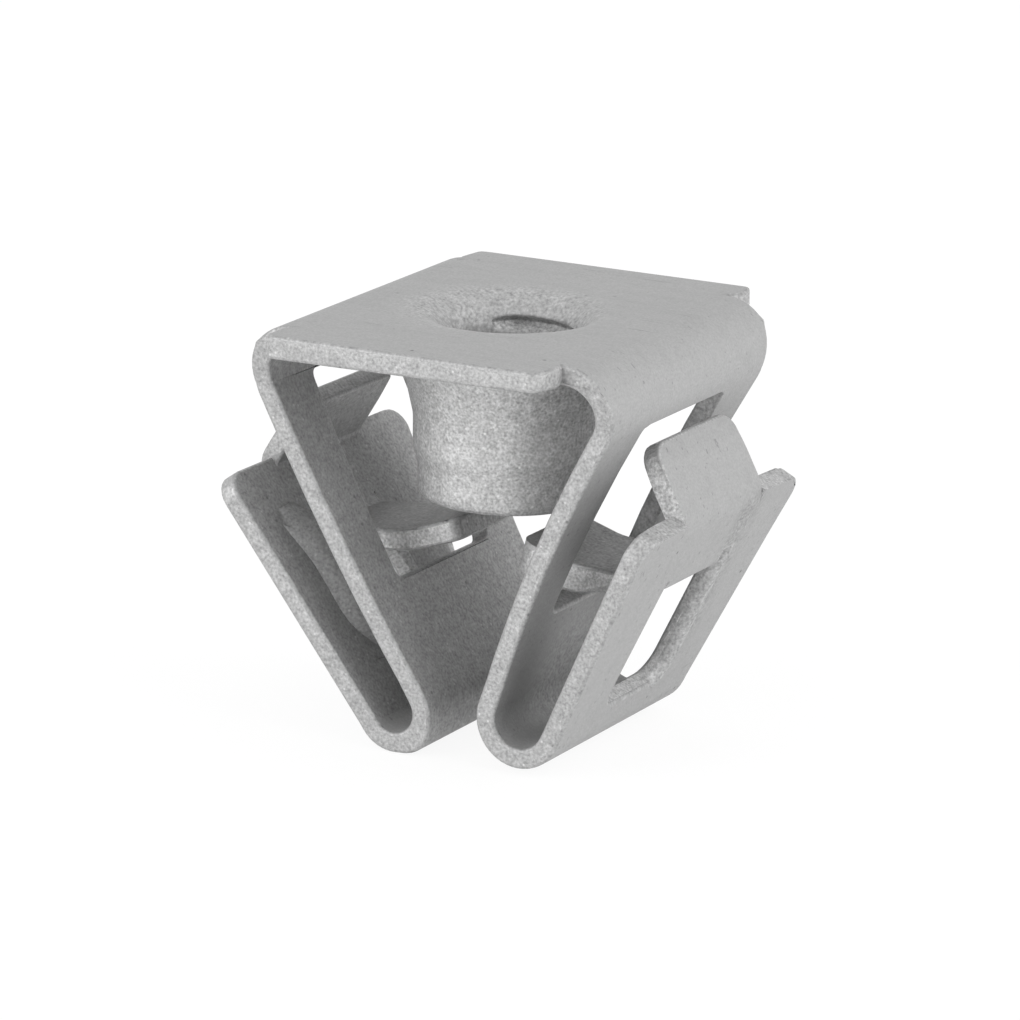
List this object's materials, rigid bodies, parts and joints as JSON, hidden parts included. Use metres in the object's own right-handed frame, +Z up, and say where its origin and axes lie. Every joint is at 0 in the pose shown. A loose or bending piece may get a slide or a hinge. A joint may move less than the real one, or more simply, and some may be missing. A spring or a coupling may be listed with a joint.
{
  "type": "panel nut",
  "caption": "Spring steel panel nut folded from one strip, with a threaded collar under its top plate, sprung arms with catch tabs and spreading tongues.",
  "frame": {"origin": "on the collar's axis, at the upper end of the threaded wall, 1.55 mm below the upper face of the top plate", "axes": "+Z up along the collar's axis, out of the plate; the legs spread towards -X and +X; +Y runs across the strip"},
  "size_m": [0.0194, 0.017, 0.0169],
  "materials": {
    "zinc_flake_steel": "satin"
  },
  "bodies": {
    "root": {"panel_nut": "zinc_flake_steel"}
  },
  "joints": []
}
